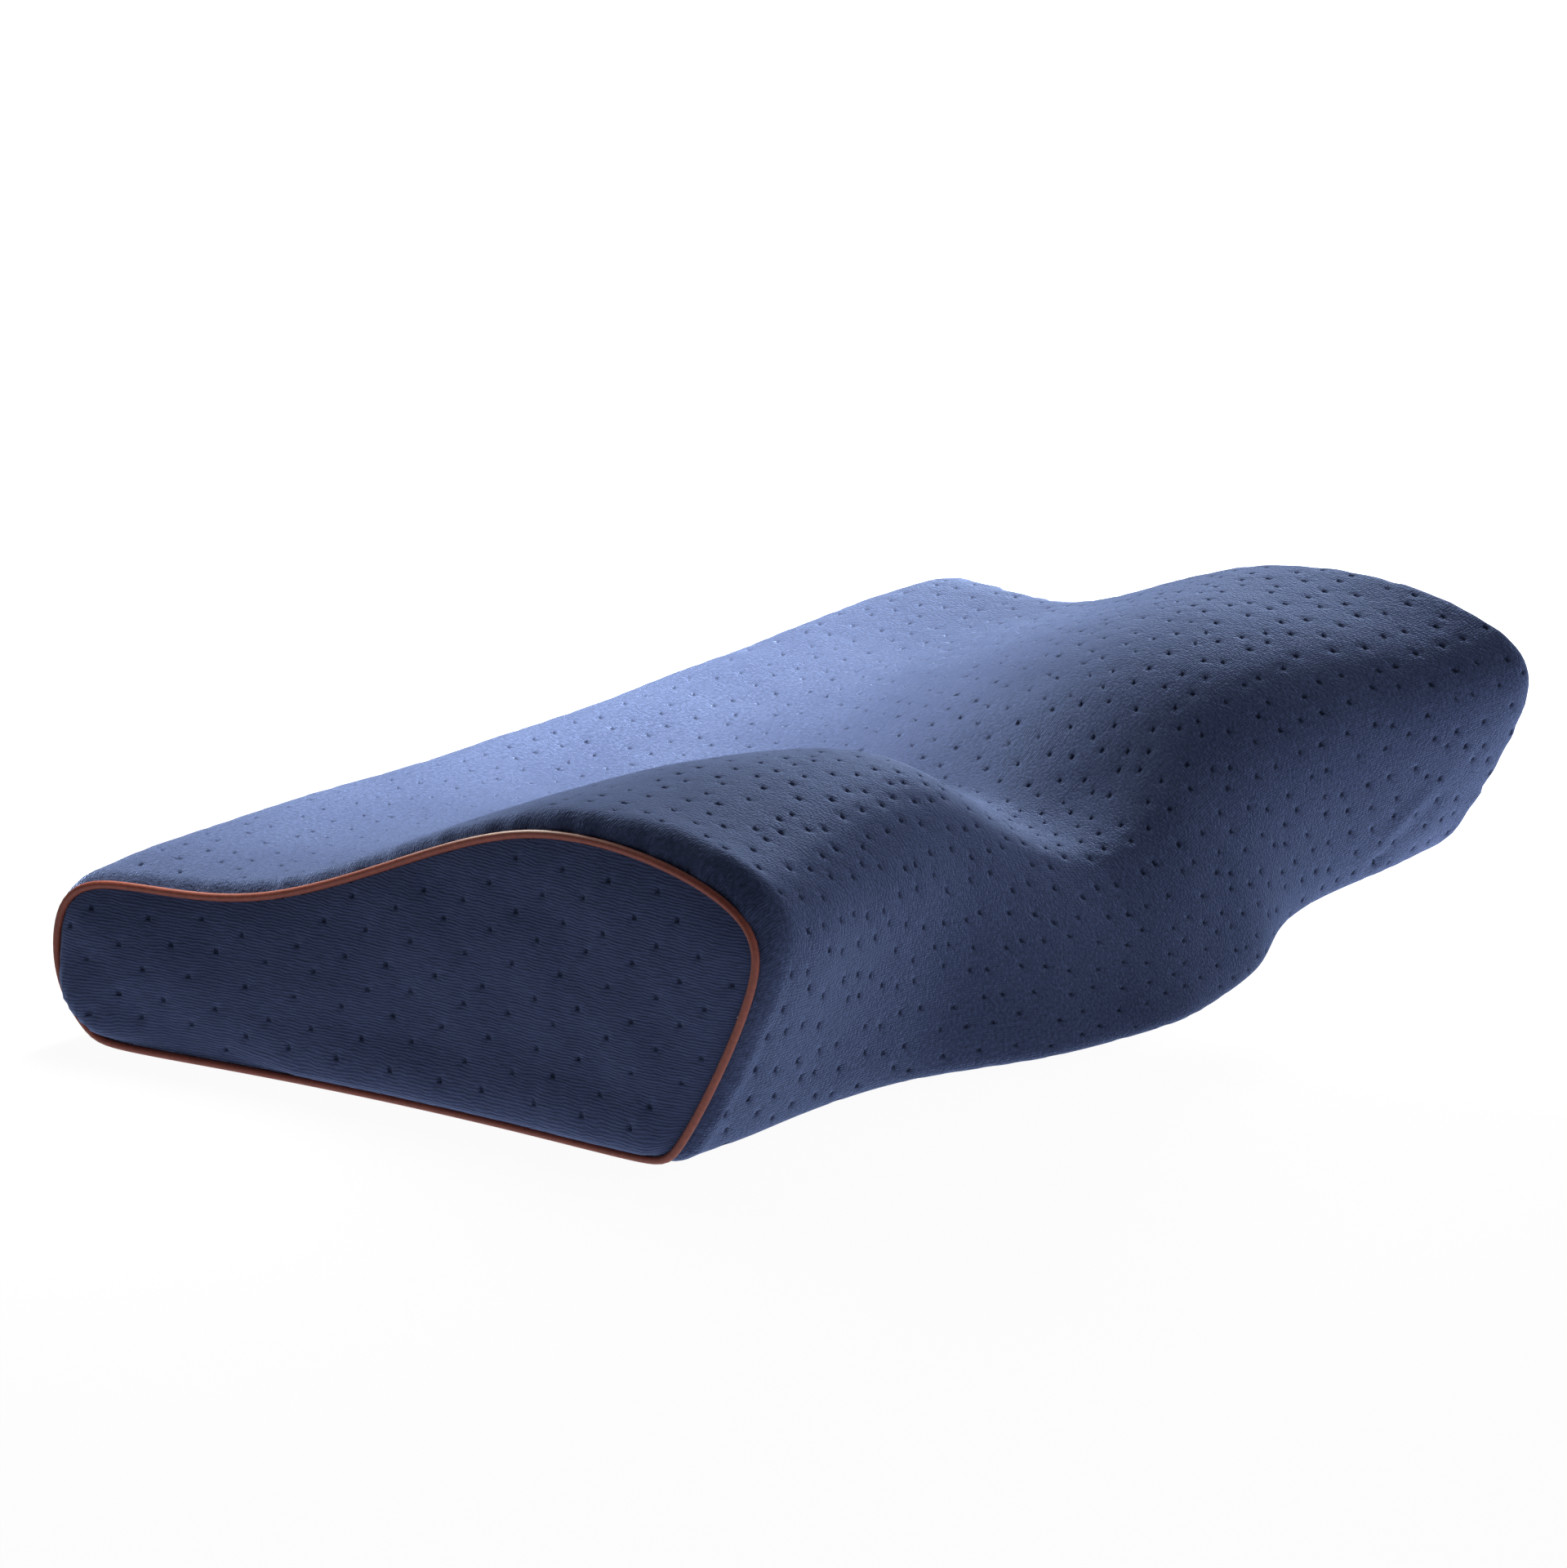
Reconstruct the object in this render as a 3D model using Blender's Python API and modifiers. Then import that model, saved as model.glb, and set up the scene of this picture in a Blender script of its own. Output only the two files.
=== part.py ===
"""Cervical pillow: a contoured filled body, two shaped end panels and a piping cord round each end seam.

Lengths are metres. X runs along the pillow, -Y is the high neck side, +Y the low back side, +Z is up.
The pillow rests on its flat underside at Z = 0.
"""

from collections import namedtuple
import math

import bmesh
import bpy
import numpy as np

MM = 0.001

# Overall sizes.
LENGTH = 556 * MM
END_SLANT = 0.099
END_LEAN = 0.046
LEAN_FROM = 56 * MM
END_HOLLOW = 12 * MM
HOLLOW_SPAN = 167 * MM

# How the filling has settled: lower toward +X, a slight twist for each metre across, and lower at both ends.
SETTLE = 0.027
TWIST = -0.197
SAG = 0.0106

# Fit between the pieces, and the piping.
GAP = 0.3 * MM
PIPING_RADIUS = 2.1 * MM
PIPING_CLEAR = 0.9 * MM
PIPING_OUT = 1.7 * MM
PIPING_POINTS = 96
PIPING_ROUND = 2

# Sewn ends: how far the seam is drawn in and lifted off the surface.
SEAM_LIFT = 5.3 * MM
SEAM_IN_LEFT = 5.0 * MM
SEAM_IN_RIGHT = 9.0 * MM

# End panels: thickness at the seam and how far each ring stands proud.
PANEL_RIM = 1.6 * MM
PANEL_RINGS_IN = (7 * MM, 11 * MM)
PANEL_PUFF = (3.2 * MM, 2.6 * MM)

# Cage shape: the lower corners, then where the points between the named ones stand. BACK_LOW and BACK_HIGH
# are shares of the back lobe's height, FRONT_LOW of the nose's, SHOULDER_AT of the way from crest to nose,
# and FLOOR_STOPS of the way from heel to toe under the pillow.
CORNER_FLAT = 11 * MM
CORNER_RISE = 5.6 * MM
BACK_LOW = 0.36
BACK_HIGH = 0.82
LOBE_IN = 17 * MM
LOBE_OVER = 2 * MM
SHOULDER_AT = 0.58
NOSE_OVER = 15 * MM
CHIN_UNDER = 11 * MM
FRONT_LOW = 0.42
FLOOR_STOPS = (0.7, 0.5, 0.25)
SUBDIVISIONS = 2

KNIT_COLOUR = (0.028, 0.062, 0.175)
VELOUR_COLOUR = (0.022, 0.048, 0.135)
PIPING_COLOUR = (0.22, 0.06, 0.03)
CLOTH_ROUGHNESS = 0.9
CLOTH_SHEEN = 0.4
CORD_ROUGHNESS = 0.45
CORD_SHEEN = 0.0

Section = namedtuple(
    "Section",
    "at back lobe dip_at dip crest_at crest shoulder nose nose_z chin toe heel",
)

# One row for each section from the middle out to the end seam, in millimetres but for "at", the share of
# the half length. back, dip_at, crest_at, nose, chin, toe and heel are places across the pillow; the rest
# are heights.
SECTIONS = (
    Section(0.00, 164, 74, 71, 56, -88, 80, 71, -151, 55, -177, -203, 129),
    Section(0.13, 164, 75, 72, 57, -86, 100, 84, -153, 60, -173, -196, 129),
    Section(0.28, 163, 76, 74, 63, -84, 123, 115, -154, 74, -164, -188, 130),
    Section(0.46, 163, 77, 76, 71, -76, 131, 127, -162, 85, -163, -157, 132),
    Section(0.66, 164, 79, 73, 74, -69, 135, 130, -174, 91, -175, -149, 137),
    Section(0.84, 164, 80, 67, 77, -65, 134, 129, -188, 96, -189, -151, 142),
    Section(0.94, 165, 78, 64, 80, -65, 135, 133, -194, 99, -195, -147, 147),
    Section(0.975, 166, 73, 64, 78, -65, 132, 136, -193, 104, -195, -148, 148),
    Section(1.00, 163, 75, 63, 77, -65, 130, 126, -186, 95, -189, -147, 147),
)


def clear_scene():
    for item in list(bpy.data.objects):
        bpy.data.objects.remove(item, do_unlink=True)
    for group in list(bpy.data.collections):
        bpy.data.collections.remove(group)


def material(name, colour, roughness, sheen):
    made = bpy.data.materials.new(name)
    made.use_nodes = True
    shader = made.node_tree.nodes["Principled BSDF"]
    shader.inputs["Base Color"].default_value = (*colour, 1.0)
    shader.inputs["Roughness"].default_value = roughness
    shader.inputs["Sheen Weight"].default_value = sheen
    return made


def cage_ring(row):
    """The cage points of one section, as (y, z) pairs, from the heel over the top to the toe and back."""
    back, lobe, dip_at, dip, crest_at, crest, shoulder, nose, nose_z, chin, toe, heel = (
        v * MM for v in row[1:]
    )
    return np.array([
        (heel - CORNER_FLAT, 0.0),
        (heel, CORNER_RISE),
        (back, BACK_LOW * lobe),
        (back, BACK_HIGH * lobe),
        (back - LOBE_IN, lobe + LOBE_OVER),
        (0.5 * (back + dip_at), 0.5 * (lobe + dip)),
        (dip_at, dip),
        (0.5 * (dip_at + crest_at), 0.5 * (dip + crest)),
        (crest_at, crest),
        (crest_at + SHOULDER_AT * (nose - crest_at), shoulder),
        (nose, nose_z + NOSE_OVER),
        (chin, nose_z - CHIN_UNDER),
        (0.5 * (chin + toe), FRONT_LOW * nose_z),
        (toe, CORNER_RISE),
        (toe + CORNER_FLAT, 0.0),
        *((heel + stop * (toe - heel), 0.0) for stop in FLOOR_STOPS),
    ])


def outward(ring):
    """Unit outward normals in the section plane at each point of a closed ring."""
    along = np.roll(ring, -1, 0) - np.roll(ring, 1, 0)
    normal = np.column_stack([along[:, 1], -along[:, 0]])
    turn = np.sum(ring[:, 0] * np.roll(ring[:, 1], -1) - np.roll(ring[:, 0], -1) * ring[:, 1])
    normal *= math.copysign(1.0, turn)
    return normal / np.linalg.norm(normal, axis=1)[:, None]


def seam_ring(side):
    """The cage ring at an end seam: drawn in all round, and lifted where it would touch the surface."""
    ring = cage_ring(SECTIONS[-1])
    drawn = ring - (SEAM_IN_RIGHT if side > 0 else SEAM_IN_LEFT) * outward(ring)
    drawn[:, 1] = np.maximum(drawn[:, 1], SEAM_LIFT)
    return drawn


def settled(yz, share):
    """The filling stands slightly lower toward the +X end and is a little twisted."""
    out = yz.copy()
    out[:, 1] *= 1.0 - share * (SETTLE + TWIST * yz[:, 0]) - SAG * share**2
    return out


def placed(yz, share):
    """Section points in space: the ends slant and are hollow in plan, and lean in toward the top."""
    hollow = END_HOLLOW * ((yz[:, 0] / HOLLOW_SPAN) ** 2 - 1 / 3)
    reach = 0.5 * LENGTH + END_SLANT * yz[:, 0] - END_LEAN * (yz[:, 1] - LEAN_FROM) + hollow
    return np.column_stack([share * reach, yz])


def smooth_ring(ring, count):
    """Points on the closed cubic curve that the subdivided edge of a cage ring settles to."""
    size = len(ring)
    out = []
    for t in np.linspace(0, size, count, endpoint=False):
        i = int(t)
        u = t - i
        weights = (
            (1 - u) ** 3,
            3 * u**3 - 6 * u**2 + 4,
            -3 * u**3 + 3 * u**2 + 3 * u + 1,
            u**3,
        )
        out.append(sum(w * ring[(i + k - 1) % size] for k, w in enumerate(weights)) / 6)
    return np.array(out)


def new_object(name, mesh, group, look):
    made = bpy.data.objects.new(name, mesh)
    group.objects.link(made)
    mesh.materials.append(look)
    for face in mesh.polygons:
        face.use_smooth = True
    return made


def subdivide(item):
    step = item.modifiers.new("Soft form", "SUBSURF")
    step.levels = SUBDIVISIONS
    step.render_levels = SUBDIVISIONS


def crease_ring(bm, verts):
    """Keeps the edge through the given closed run of vertices sharp under subdivision."""
    layer = bm.edges.layers.float.get("crease_edge") or bm.edges.layers.float.new("crease_edge")
    for a, b in zip(verts, verts[1:] + verts[:1]):
        bm.edges.get((a, b))[layer] = 1.0


def make_body(group, look):
    rows = [(-row.at, row) for row in reversed(SECTIONS[1:])] + [(row.at, row) for row in SECTIONS]
    bm = bmesh.new()
    rings = []
    for share, row in rows:
        flat = seam_ring(share) if row is SECTIONS[-1] else cage_ring(row)
        points = placed(settled(flat, share), share)
        rings.append([bm.verts.new(p) for p in points])
    for near, far in zip(rings, rings[1:]):
        for a, b, c, d in zip(near, near[1:] + near[:1], far[1:] + far[:1], far):
            bm.faces.new((a, b, c, d))
    for ring in (rings[0], rings[-1]):
        bm.faces.new(ring)
        crease_ring(bm, ring)
    bmesh.ops.recalc_face_normals(bm, faces=bm.faces[:])
    mesh = bpy.data.meshes.new("pillow_body")
    bm.to_mesh(mesh)
    bm.free()
    subdivide(new_object("pillow_body", mesh, group, look))


def make_panel(name, side, group, look):
    """A shaped panel just outside the body's end: flat within, a thin rim at the seam, puffed in the middle."""
    bm = bmesh.new()
    ring = placed(settled(seam_ring(side), side), side)
    out = np.array([side, 0.0, 0.0])
    inner = [bm.verts.new(p + out * GAP) for p in ring]
    outer = [bm.verts.new(p + out * (GAP + PANEL_RIM)) for p in ring]
    bm.faces.new(inner)
    front = bm.faces.new(outer)
    for a, b, c, d in zip(inner, inner[1:] + inner[:1], outer[1:] + outer[:1], outer):
        bm.faces.new((a, b, c, d))
    crease_ring(bm, inner)
    crease_ring(bm, outer)
    for inset, puff in zip(PANEL_RINGS_IN, PANEL_PUFF):
        bmesh.ops.inset_individual(bm, faces=[front], thickness=inset, depth=0.0, use_even_offset=True)
        bmesh.ops.translate(bm, verts=front.verts[:], vec=tuple(out * puff))
    bmesh.ops.recalc_face_normals(bm, faces=bm.faces[:])
    mesh = bpy.data.meshes.new(name)
    bm.to_mesh(mesh)
    bm.free()
    subdivide(new_object(name, mesh, group, look))


def make_piping(name, side, group, look):
    """A closed cord round the end seam, just clear of the body and the panel."""
    seam = smooth_ring(settled(seam_ring(side), side), PIPING_POINTS)
    path = seam + (PIPING_RADIUS + PIPING_CLEAR) * outward(seam)
    points = placed(path, side) + np.array([side * PIPING_OUT, 0.0, 0.0])
    curve = bpy.data.curves.new(name, "CURVE")
    curve.dimensions = "3D"
    curve.bevel_depth = PIPING_RADIUS
    curve.bevel_resolution = PIPING_ROUND
    line = curve.splines.new("POLY")
    line.points.add(len(points) - 1)
    for slot, point in zip(line.points, points):
        slot.co = (*point, 1.0)
    line.use_cyclic_u = True
    line.use_smooth = True
    curve.materials.append(look)
    made = bpy.data.objects.new(name, curve)
    group.objects.link(made)


def centre_on_floor(group):
    """Moves the whole pillow sideways so the middle of its footprint stands at the origin."""
    graph = bpy.context.evaluated_depsgraph_get()
    corners = []
    for item in group.objects:
        seen = item.evaluated_get(graph)
        mesh = seen.to_mesh()
        points = np.empty(3 * len(mesh.vertices))
        mesh.vertices.foreach_get("co", points)
        seen.to_mesh_clear()
        points = points.reshape(-1, 3)
        corners += [points.min(0), points.max(0)]
    middle = 0.5 * (np.min(corners, axis=0) + np.max(corners, axis=0))
    for item in group.objects:
        item.location = (-middle[0], -middle[1], 0.0)


def main():
    clear_scene()
    group = bpy.data.collections.new("cervical_pillow")
    bpy.context.scene.collection.children.link(group)
    knit = material("navy_knit", KNIT_COLOUR, CLOTH_ROUGHNESS, CLOTH_SHEEN)
    panel = material("navy_velour", VELOUR_COLOUR, CLOTH_ROUGHNESS, CLOTH_SHEEN)
    cord = material("brown_piping", PIPING_COLOUR, CORD_ROUGHNESS, CORD_SHEEN)
    make_body(group, knit)
    for word, side in (("left", -1.0), ("right", 1.0)):
        make_panel(f"end_panel_{word}", side, group, panel)
        make_piping(f"piping_{word}", side, group, cord)
    centre_on_floor(group)


main()
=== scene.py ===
"""Cervical pillow: a knit cover with pressed dimples, puffed ribbed end panels and brown piping.

Lengths are metres. X runs along the pillow, -Y is the high neck side, +Y the low back side, +Z is up.
The pillow rests on its flat underside at Z = 0.
"""

import math
from collections import namedtuple

import bmesh
import bpy
import numpy as np
from bpy.props import FloatProperty, FloatVectorProperty, IntProperty, PointerProperty
from mathutils import Matrix, Vector, noise


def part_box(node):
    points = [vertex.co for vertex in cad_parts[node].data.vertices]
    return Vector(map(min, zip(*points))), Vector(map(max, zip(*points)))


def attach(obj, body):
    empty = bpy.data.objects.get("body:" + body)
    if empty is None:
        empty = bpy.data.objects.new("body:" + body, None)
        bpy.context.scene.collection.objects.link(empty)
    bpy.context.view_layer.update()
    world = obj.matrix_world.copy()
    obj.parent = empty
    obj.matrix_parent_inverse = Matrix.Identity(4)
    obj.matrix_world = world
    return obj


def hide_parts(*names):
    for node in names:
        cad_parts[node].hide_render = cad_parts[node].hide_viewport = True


bl_info = {
    "name": "Cervical pillow",
    "version": (1, 0, 0),
    "blender": (4, 5, 0),
    "location": "View3D > Sidebar > Pillow",
    "description": "Dresses the contour pillow with its knit cover, end panels and piping",
    "category": "Object",
}

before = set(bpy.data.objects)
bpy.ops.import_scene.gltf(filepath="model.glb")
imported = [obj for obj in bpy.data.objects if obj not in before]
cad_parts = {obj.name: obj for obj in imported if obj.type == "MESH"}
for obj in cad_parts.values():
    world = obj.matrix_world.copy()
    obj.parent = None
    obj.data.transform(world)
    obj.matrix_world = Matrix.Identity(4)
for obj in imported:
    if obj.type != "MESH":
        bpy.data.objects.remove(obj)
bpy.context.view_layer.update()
MM = 0.001

# The two ends: the word in the names of their pieces, and their side along X.
SIDES = (("left", -1), ("right", 1))

# The filling's form: one row for each section from the middle out to the end seam, in millimetres but for
# "at", the share of the half length.
Section = namedtuple(
    "Section",
    "at back lobe dip_at dip crest_at crest shoulder nose nose_z chin toe heel",
)
SECTIONS = (
    Section(0.00, 164, 74, 71, 56, -88, 80, 71, -151, 55, -177, -203, 129),
    Section(0.13, 164, 75, 72, 57, -86, 100, 84, -153, 60, -173, -196, 129),
    Section(0.28, 163, 76, 74, 63, -84, 123, 115, -154, 74, -164, -188, 130),
    Section(0.46, 163, 77, 76, 71, -76, 131, 127, -162, 85, -163, -157, 132),
    Section(0.66, 164, 79, 73, 74, -69, 135, 130, -174, 91, -175, -149, 137),
    Section(0.84, 164, 80, 67, 77, -65, 134, 129, -188, 96, -189, -151, 142),
    Section(0.94, 165, 78, 64, 80, -65, 135, 133, -194, 99, -195, -147, 147),
    Section(0.975, 166, 73, 64, 78, -65, 132, 136, -193, 104, -195, -148, 148),
    Section(1.00, 163, 75, 63, 77, -65, 130, 126, -186, 95, -189, -147, 147),
)

# The filling's length, and how its ends slant, lean and hollow in.
LENGTH = 556 * MM
END_SLANT = 0.099
END_LEAN = 0.046
LEAN_FROM = 56 * MM
END_HOLLOW = 12 * MM
HOLLOW_SPAN = 167 * MM

# How the filling has settled: lower toward +X, a slight twist for each metre across, and lower at both ends.
SETTLE = 0.027
TWIST = -0.197
SAG = 0.0106

# Sewn ends: how far the seam is lifted off the surface and drawn in.
SEAM_LIFT = 5.3 * MM
SEAM_IN_LEFT = 5.0 * MM
SEAM_IN_RIGHT = 9.0 * MM

# Cage shape: the lower corners, then where the points between the named ones stand. BACK_LOW and BACK_HIGH
# are shares of the back lobe's height, FRONT_LOW of the nose's, SHOULDER_AT of the way from crest to nose,
# and FLOOR_STOPS of the way from heel to toe under the pillow.
CORNER_FLAT = 11 * MM
CORNER_RISE = 5.6 * MM
BACK_LOW = 0.36
BACK_HIGH = 0.82
LOBE_IN = 17 * MM
LOBE_OVER = 2 * MM
SHOULDER_AT = 0.58
NOSE_OVER = 15 * MM
CHIN_UNDER = 11 * MM
FRONT_LOW = 0.42
FLOOR_STOPS = (0.7, 0.5, 0.25)

# How finely the form is sampled, along and round it, to find its middle and to measure the cloth; then the
# points round a seam for each piece, and how many finer ones they are spaced by.
MIDDLE_SAMPLES = (121, 240)
CLOTH_SAMPLES = (400, 721)
COVER_SEAM_POINTS = 240
PANEL_SEAM_POINTS = 360
CORD_SEAM_POINTS = 260
SEAM_FINENESS = 8

# Half the side of the cover's net while it is flat, and the distances within which points are merged.
FLAT_HALF = 0.5
CUT_MERGE = 0.001 * MM
COVER_MERGE = 0.01 * MM
PANEL_MERGE = 0.6 * MM

# Dimples of the cover: how far apart their rows are, as a share of the spacing, how far each strays, the
# plain strip beside the seams, how dark the painted shade in a pit is, and the seed of the draws.
DIMPLE_ROWS = 0.87
DIMPLE_STRAY = 3.2 * MM
DIMPLE_MARGIN = 9 * MM
DIMPLE_PAINTED_SHADE = 0.6
COVER_SEED = 7

# Darts of the end panels: spacing along a row and between rows, stray, depth, the room that they need
# beside the seam and the room more where the panel swells, the share of a cell's area that counts as a
# whole cell, how dark the painted shade in a dart is, and the seed of the draws.
DART_SPACING = 24 * MM
DART_ROWS = 10.8 * MM
DART_STRAY = 1.2 * MM
DART_DEPTH = 1.1 * MM
DART_ROOM = 5 * MM
DART_ROOM_MORE = 5 * MM
DART_WHOLE = 0.85
DART_PAINTED_SHADE = 0.4
PANEL_SEED = 11

# How a pit is pressed: its steps, each inset by a share of a cell, sunk by a share of the depth and given a
# share of the pit's painted shade; the shallowest and deepest share of the depth; how far the rim sinks, as
# a share of the depth, and how far a step slides aside, as a share of its edge; and the shortest edge, as a
# share of a cell, of a face that can take a pit.
PitStep = namedtuple("PitStep", "inset sink tone")
PIT_STEPS = (PitStep(0.24, 0.45, 0.2), PitStep(0.11, 0.45, 1.0))
PIT_DEPTHS = (0.65, 1.15)
PIT_RIM = 0.15
PIT_SLIDE = 0.22
PIT_EDGE = 0.6

# Soft wrinkles of the cover: the middle of each, the way it runs, its half length and width and its
# height, all in millimetres but for the way.
Wrinkle = namedtuple("Wrinkle", "x y z run_x run_y run_z half wide high")
WRINKLES = (
    Wrinkle(208, -150, 38, 0.65, -0.35, 0.65, 22, 4.0, 1.0),
    Wrinkle(217, -149, 29, 0.65, -0.30, 0.65, 20, 4.0, -0.9),
    Wrinkle(196, -147, 42, 0.65, -0.35, 0.65, 18, 4.0, -0.7),
    Wrinkle(203, -139, 15, 0.90, 0.00, 0.30, 7, 3.0, -2.2),
    Wrinkle(-256, -60, 133, 0.35, 0.94, 0.00, 46, 6.0, 0.9),
    Wrinkle(-250, 20, 98, 0.30, 0.90, -0.30, 34, 6.0, 0.7),
)

# Unevenness of the filling under the cloth: how many bumps to a metre, and their height.
Uneven = namedtuple("Uneven", "bumps height")
COVER_UNEVEN = (Uneven(22, 0.7 * MM), Uneven(60, 0.25 * MM))
PANEL_UNEVEN = (Uneven(34, 1.2 * MM), Uneven(85, 0.4 * MM))

# The cover lies flat up to this height, where the pillow rests, and is free above the next stretch.
REST_HEIGHT = 2 * MM
REST_FADE = 10 * MM

# The cover beside the end seams: where the ends begin along X, the nearest and the farthest cloth that
# moves, how the gathers start and fade, and where the soft roll stands and how wide it is.
ENDS_FROM = 200 * MM
SEAM_NEAR = 0.3 * MM
SEAM_FAR = 30 * MM
GATHER_START = 3 * MM
GATHER_FADE = 9 * MM
ROLL_AT = 8 * MM
ROLL_WIDE = 5.5 * MM

# The gathers round a seam: the main ones, how far and how often they drift, and the finer ones between.
GATHERS = 41
GATHER_DRIFT = 1.3
DRIFT_WAVES = 5
FINE_GATHERS = 67
FINE_SHARE = 0.6
FINE_START = 2.0

# End panels: the cells of their net and its margin, how far their edge stands outside the seam, and how far
# in from the seam they take to puff out and to turn soft.
PANEL_CELL = 3.0 * MM
PANEL_MARGIN = 2 * MM
PANEL_OUT = 0.6 * MM
PUFF_REACH = 15 * MM
SOFT_REACH = 8 * MM

# What an overfull stretch of a panel does: it puffs out sooner and further, and swells over the piping,
# most at one distance in from the seam.
FULL_SOONER = 11 * MM
FULL_FURTHER = 1.5 * MM
FULL_SWELL = 5.5 * MM
SWELL_AT = 6 * MM

# Where a panel is overfull: round a place by its lower back corner, and less so below a height along its
# bottom edge, between two places. Each side has the stretch over which it fades.
FULL_CORNER = (165 * MM, 22 * MM)
FULL_WIDE = 26 * MM
FULL_EDGE = 0.7
FULL_BELOW = 34 * MM
FULL_BELOW_FADE = 14 * MM
FULL_FROM = -135 * MM
FULL_FROM_FADE = 20 * MM
FULL_TO = 90 * MM
FULL_TO_FADE = 30 * MM

# Soft hollows of the end panels: the middle of each across and up, its half width and half height, and
# its depth, in millimetres.
Hollow = namedtuple("Hollow", "y z wide tall deep")
HOLLOWS = (
    Hollow(154, 41, 13, 9, 1.5),
    Hollow(144, 22, 15, 8, 1.7),
    Hollow(100, 58, 22, 6, 0.5),
    Hollow(-60, 96, 26, 9, 0.7),
    Hollow(-128, 60, 12, 20, 0.8),
)

# The piping cord: how far it clears the seam outwards in the end's plane, and how far it stands out along X.
CORD_CLEAR = 0.2 * MM
CORD_OUT = 1.0 * MM

# How each finish takes the light: its roughness, its sheen and how broad that is, its gloss, and how
# strongly and how deeply its grain stands up.
Surface = namedtuple("Surface", "roughness sheen sheen_roughness gloss bump bump_depth")
KNIT_SURFACE = Surface(0.95, 1.0, 0.28, 0.0, 0.85, 1.2 * MM)
VELOUR_SURFACE = Surface(0.95, 0.7, 0.45, 0.15, 0.8, 0.8 * MM)
PIPING_SURFACE = Surface(0.5, 0.05, 0.4, 0.3, 0.25, 0.2 * MM)

# Patterns of the finishes, by the names of their sockets, with how the nap is stretched on the cloth and
# the shares that ribs and nap have in the cloth's height.
KNIT_NAP = {"Scale": 640.0, "Detail": 3.0, "Roughness": 0.65}
KNIT_NAP_STRETCH = (1.0, 0.8, 1.0)
KNIT_CLOUD = {"Scale": 16.0, "Detail": 3.0, "Roughness": 0.5}
KNIT_RIBS = {"Scale": 260.0, "Distortion": 3.0, "Detail": 1.5, "Detail Scale": 1.5}
KNIT_RIB_SHARE = 0.12
VELOUR_NAP = {"Scale": 800.0, "Detail": 3.0, "Roughness": 0.65}
VELOUR_NAP_STRETCH = (0.2, 1.0, 1.0)
VELOUR_NAP_SHARE = 0.75
VELOUR_RIBS = {"Scale": 250.0, "Distortion": 6.0, "Detail": 3.0, "Detail Scale": 0.6}
VELOUR_RIB_SHARE = 0.25
PIPING_GRAIN = {"Scale": 500.0, "Detail": 3.0, "Roughness": 0.6}

# Tones of the finishes, as stops of height in the grain and the share of the colour there; then the broad
# cloudy tints of the knit, and the share of the colour that is left in a pit as painted shade.
KNIT_TONES = ((0.30, 0.66), (0.52, 1.0), (0.74, 1.45))
VELOUR_TONES = ((0.25, 0.66), (0.75, 1.45))
PIPING_TONES = ((0.3, 0.8), (0.7, 1.15))
CLOUD_TINTS = ((0.3, (0.86, 0.86, 0.88, 1.0)), (0.7, (1.08, 1.08, 1.06, 1.0)))
KNIT_PIT_SHADE = 0.3
VELOUR_PIT_SHADE = 0.25

# The colour sockets of a mix node by number: its factor and two colours, and the colour it gives. Then the
# space between nodes in the node editor.
MIX_ENTRIES = (0, 6, 7)
MIX_RESULT = 2
NODE_STEP = 220

# The camera: its focal length in pixels of a picture with this longer side, its sensor's width in
# millimetres, how far the pillow's middle lies right of its aim and above it, and how far it sees.
FOCAL_PX = 9451.0
PICTURE_PX = 1920
SENSOR = 36.0
AIM = (0.0139, -0.0666)
CLIP_END = 50.0

# The floor: half its side, its roughness, the share of its colour that it reflects, how far its bright side
# is turned from the sky's, and the distances along it between which the glow rises.
FLOOR_HALF = 14.0
FLOOR_ROUGHNESS = 0.8
FLOOR_SHARE = 0.07
FLOOR_TURN = math.radians(40)
GLOW_RISE = (-0.1, 0.45)

# The shares of the way to the sky's bright side between which it grows bright.
SKY_RISE = (0.0, 0.9)


class PillowCover(bpy.types.PropertyGroup):
    """Sizes and colours of the knit cover"""

    knit_colour: FloatVectorProperty(
        name="Knit colour", description="Colour of the dimpled knit cover", subtype="COLOR",
        default=(0.042, 0.057, 0.122), min=0.0, max=1.0,
    )
    nap_colour: FloatVectorProperty(
        name="Nap colour", description="Colour of the raised nap where it catches the light", subtype="COLOR",
        default=(0.40, 0.54, 1.00), min=0.0, max=1.0,
    )
    cell: FloatProperty(
        name="Cloth cell", description="Size of one cell of the cloth's net", subtype="DISTANCE",
        default=3.3 * MM, min=1.0 * MM, max=10 * MM,
    )
    dimple_spacing: FloatProperty(
        name="Dimple spacing", description="Distance between dimples along a row", subtype="DISTANCE",
        default=15.3 * MM, min=5 * MM, max=60 * MM,
    )
    dimple_depth: FloatProperty(
        name="Dimple depth", description="How deep each dimple is pressed in", subtype="DISTANCE",
        default=1.2 * MM, min=0.0, max=4 * MM,
    )
    seam_roll: FloatProperty(
        name="Seam roll", description="Height of the soft roll beside the end seams", subtype="DISTANCE",
        default=2.0 * MM, min=0.0, max=6 * MM,
    )
    pucker: FloatProperty(
        name="Seam pucker", description="Height of the small gathers beside the end seams",
        subtype="DISTANCE", default=0.9 * MM, min=0.0, max=3 * MM,
    )


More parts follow.
